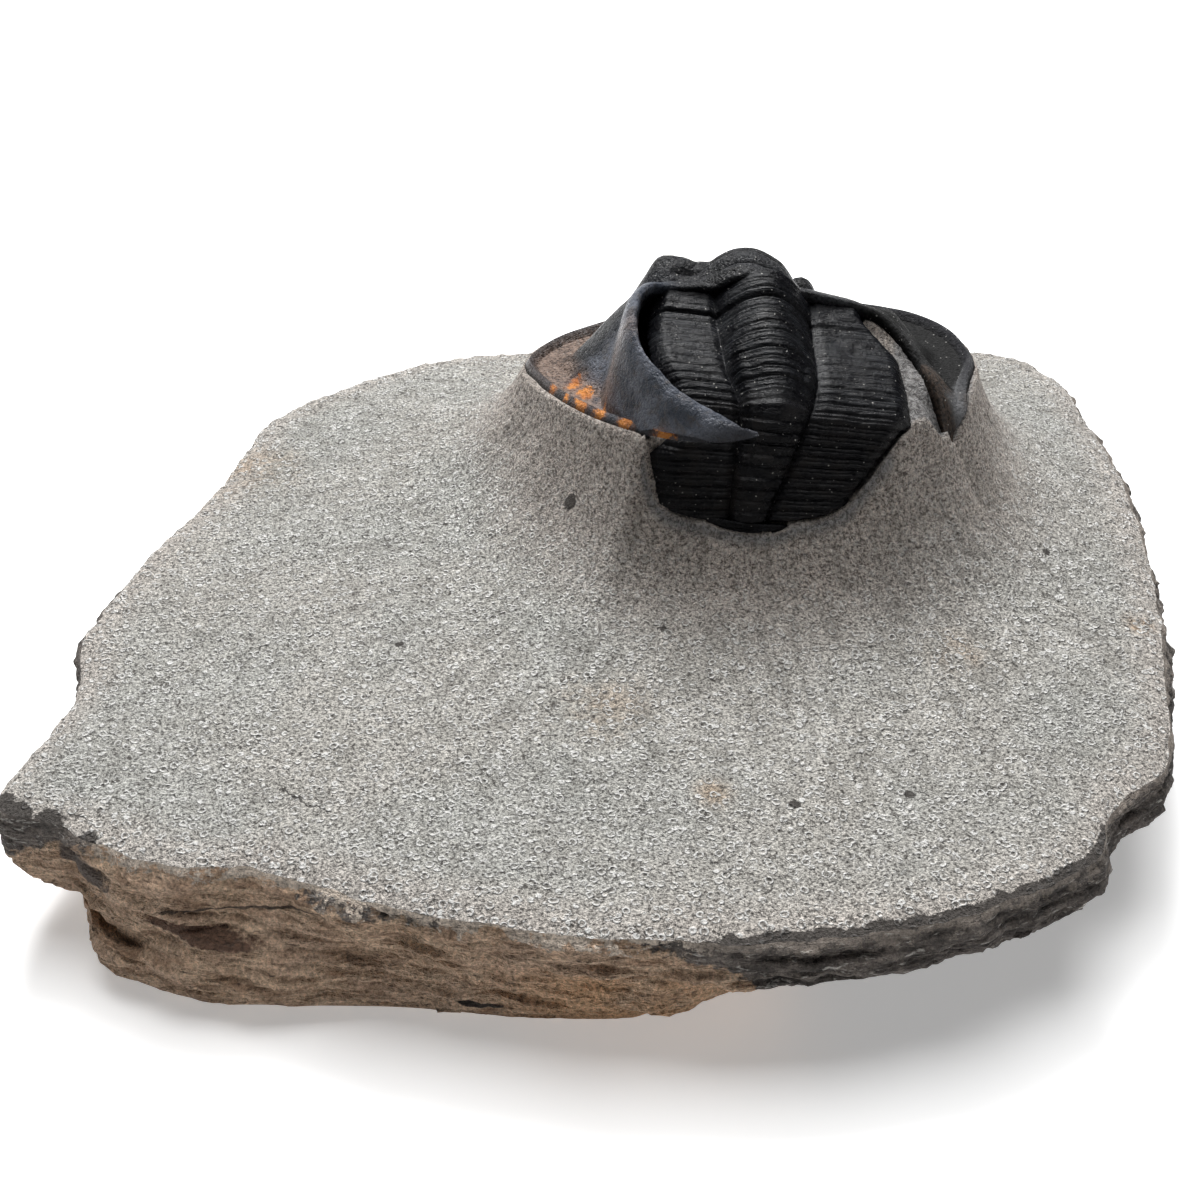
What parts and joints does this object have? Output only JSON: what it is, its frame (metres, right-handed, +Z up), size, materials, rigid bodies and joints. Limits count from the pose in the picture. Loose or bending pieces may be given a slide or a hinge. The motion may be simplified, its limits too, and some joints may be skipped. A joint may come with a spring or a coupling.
{
  "type": "fossil harpes trilobite",
  "caption": "Arched fossil trilobite with a horseshoe-brimmed head shield, on a concave mound of its limestone matrix block.",
  "frame": {"origin": "middle of the box around the object, on the plane that the flat foot of the block rests on", "axes": "+X to the animal's right, across the block; +Y forwards, from the tail to the head; +Z up"},
  "size_m": [0.0974, 0.0892, 0.0368],
  "materials": {
    "limestone": "dull, pale grey where it was prepared, brown and dark grey where it broke",
    "head_shell": "matte blue-grey calcite shell with brown and orange iron stains",
    "body_shell": "glossy black calcite shell"
  },
  "bodies": {
    "root": {"matrix_rock": "limestone", "cephalon": "head_shell", "thorax": "body_shell", "pygidium": "body_shell"}
  },
  "joints": []
}
